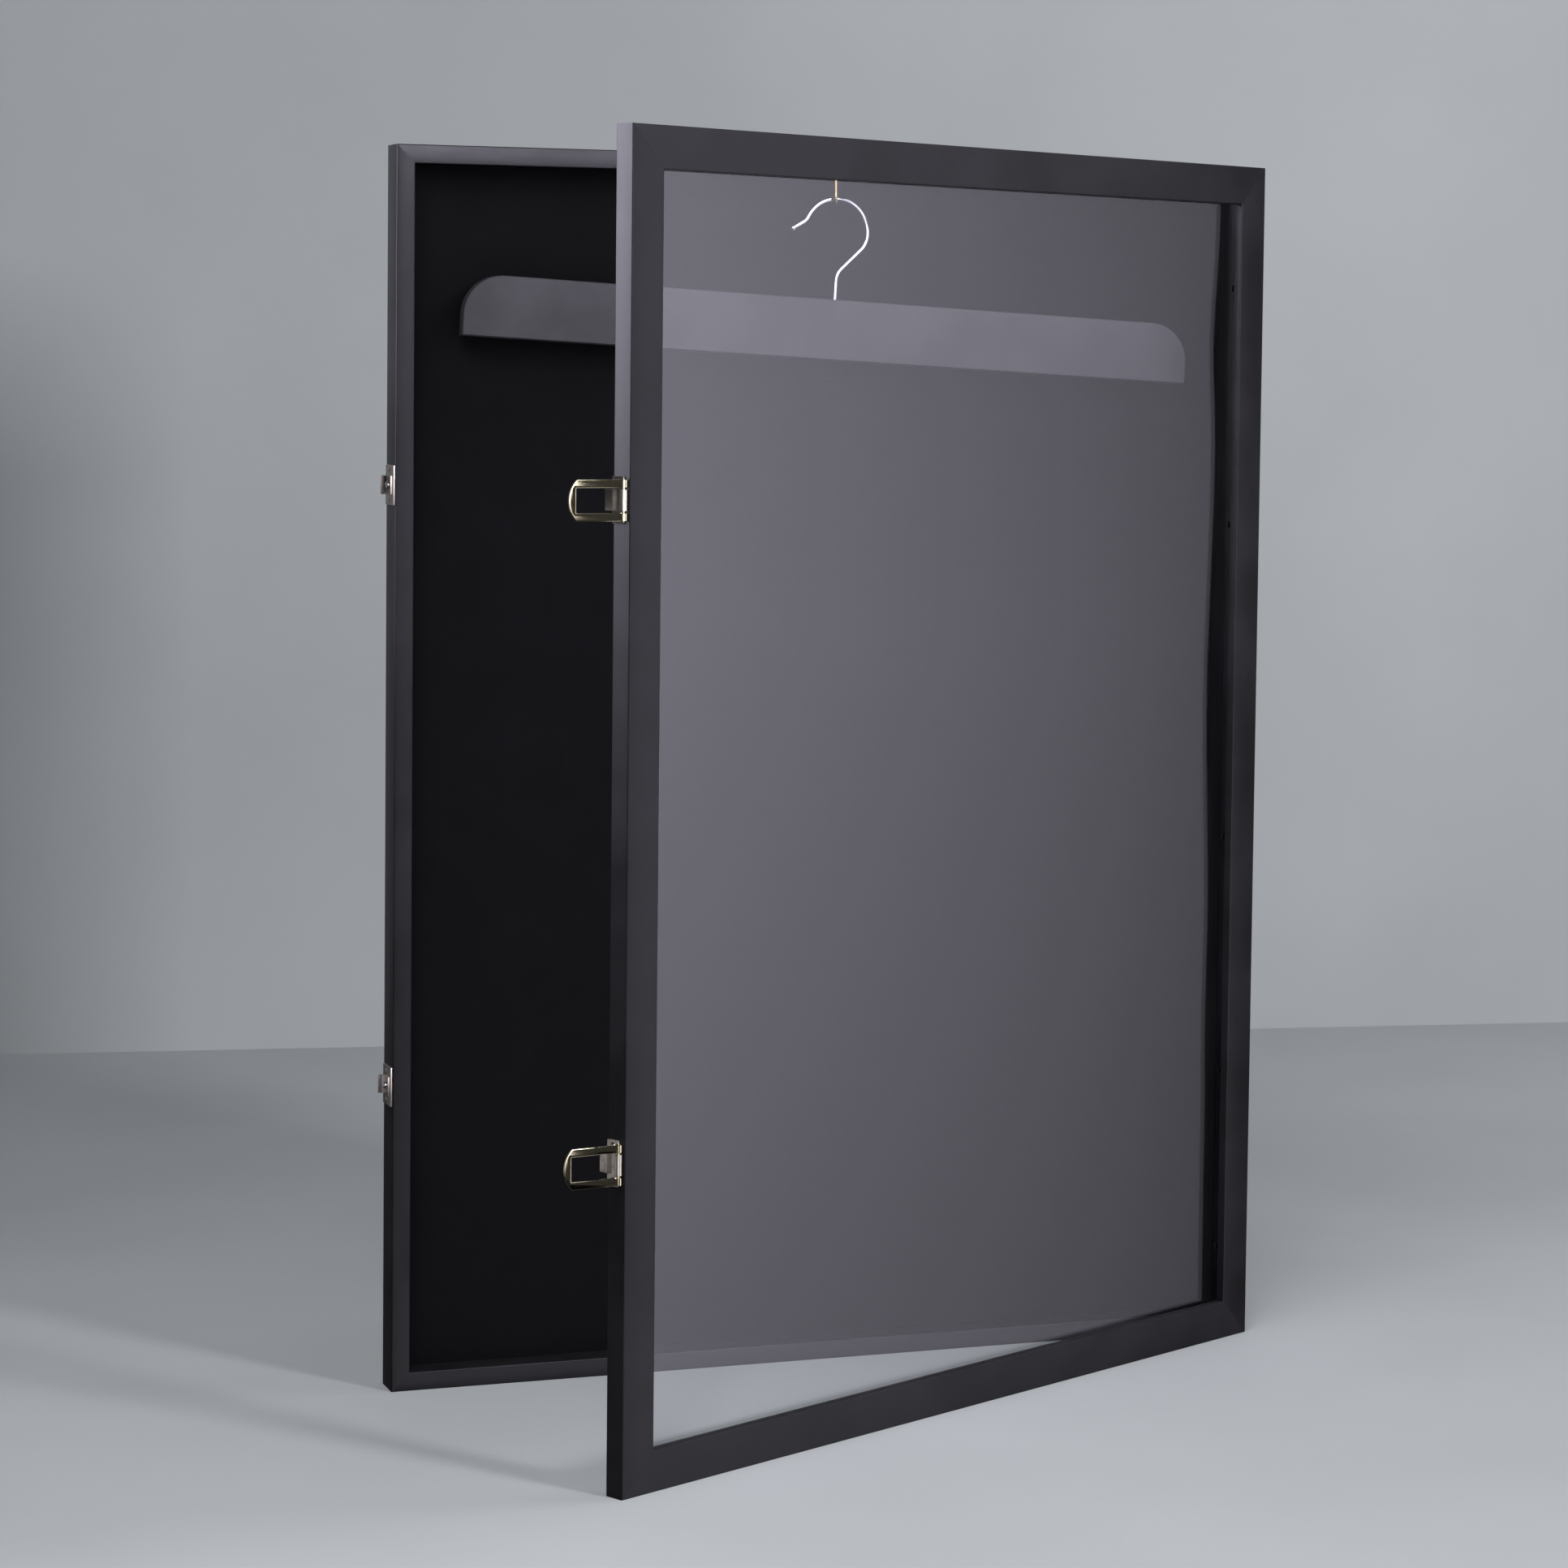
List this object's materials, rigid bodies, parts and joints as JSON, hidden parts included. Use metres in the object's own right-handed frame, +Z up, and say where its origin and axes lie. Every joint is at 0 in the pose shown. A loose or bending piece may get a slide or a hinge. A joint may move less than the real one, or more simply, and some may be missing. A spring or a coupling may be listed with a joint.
{
  "type": "jersey display frame",
  "caption": "Shallow black wall case with a side-hinged glazed door, hasp latches, felt back and a hanger that hangs from a screw hook inside.",
  "frame": {"origin": "middle of the underside of the case's bottom rail, half way through the case's depth", "axes": "+X towards the hinges, to the right as one faces the door; +Y towards the wall; +Z up. Right-handed."},
  "size_m": [0.6064, 0.3123, 0.8],
  "materials": {
    "black_paint": "satin black paint",
    "hanger_paint": "matt black paint",
    "hardboard": "bare hardboard",
    "felt": "black felt",
    "acrylic": "clear acrylic sheet",
    "pale_gold": "polished pale gold plate",
    "nickel": "satin champagne nickel plate",
    "steel": "zinc plated",
    "brass": "brass plate",
    "chrome": "polished"
  },
  "bodies": {
    "case": {"case_left_stile": "black_paint", "case_right_stile": "black_paint", "case_top_rail": "black_paint", "case_bottom_rail": "black_paint", "back_board": "hardboard", "felt_lining": "felt", "screw_hook": "brass", "left_sawtooth_hanger": "steel", "left_sawtooth_nail_1": "steel", "left_sawtooth_nail_2": "steel", "right_sawtooth_hanger": "steel", "right_sawtooth_nail_1": "steel", "right_sawtooth_nail_2": "steel", "upper_strike": "nickel", "upper_strike_screw": "nickel", "upper_strike_pin_1": "nickel", "upper_strike_pin_2": "nickel", "upper_hinge_case_leaf": "nickel", "upper_hinge_pin": "nickel", "upper_hinge_case_screw_1": "nickel", "upper_hinge_case_screw_2": "nickel", "lower_strike": "nickel", "lower_strike_screw": "nickel", "lower_strike_pin_1": "nickel", "lower_strike_pin_2": "nickel", "lower_hinge_case_leaf": "nickel", "lower_hinge_pin": "nickel", "lower_hinge_case_screw_1": "nickel", "lower_hinge_case_screw_2": "nickel"},
    "door": {"door_left_stile": "black_paint", "door_right_stile": "black_paint", "door_top_rail": "black_paint", "door_bottom_rail": "black_paint", "acrylic_panel": "acrylic", "glazing_point_left_1": "steel", "glazing_point_left_2": "steel", "glazing_point_left_3": "steel", "glazing_point_right_1": "steel", "glazing_point_right_2": "steel", "glazing_point_right_3": "steel", "glazing_point_top": "steel", "glazing_point_bottom": "steel", "upper_hinge_door_leaf": "nickel", "upper_hinge_door_screw_1": "nickel", "upper_hinge_door_screw_2": "nickel", "upper_latch_base": "pale_gold", "upper_latch_pin": "pale_gold", "upper_latch_screw_1": "pale_gold", "upper_latch_screw_2": "pale_gold", "lower_hinge_door_leaf": "nickel", "lower_hinge_door_screw_1": "nickel", "lower_hinge_door_screw_2": "nickel", "lower_latch_base": "pale_gold", "lower_latch_pin": "pale_gold", "lower_latch_screw_1": "pale_gold", "lower_latch_screw_2": "pale_gold"},
    "upper_hasp": {"upper_latch_hasp": "pale_gold"},
    "lower_hasp": {"lower_latch_hasp": "pale_gold"},
    "hanger": {"hanger_bar": "hanger_paint", "hanger_hook": "chrome"}
  },
  "joints": [
    {"name": "door_hinge", "type": "hinge", "parent": "case", "child": "door", "pos_m": [0.2996, -0.0126, 0.4], "axis": [0, 0, 1], "range_deg": [-26.5, 153.5]},
    {"name": "upper_hasp_swing", "type": "hinge", "parent": "door", "child": "upper_hasp", "pos_m": [-0.2316, -0.29097, 0.584], "axis": [0, 0, 1], "range_deg": [-74, 106]},
    {"name": "lower_hasp_swing", "type": "hinge", "parent": "door", "child": "lower_hasp", "pos_m": [-0.2316, -0.29097, 0.198], "axis": [0, 0, 1], "range_deg": [-74, 106]},
    {"name": "hanger_swing", "type": "hinge", "parent": "case", "child": "hanger", "pos_m": [0.0015, -0.004, 0.77095], "axis": [0, 1, 0], "range_deg": [-15, 15]}
  ]
}
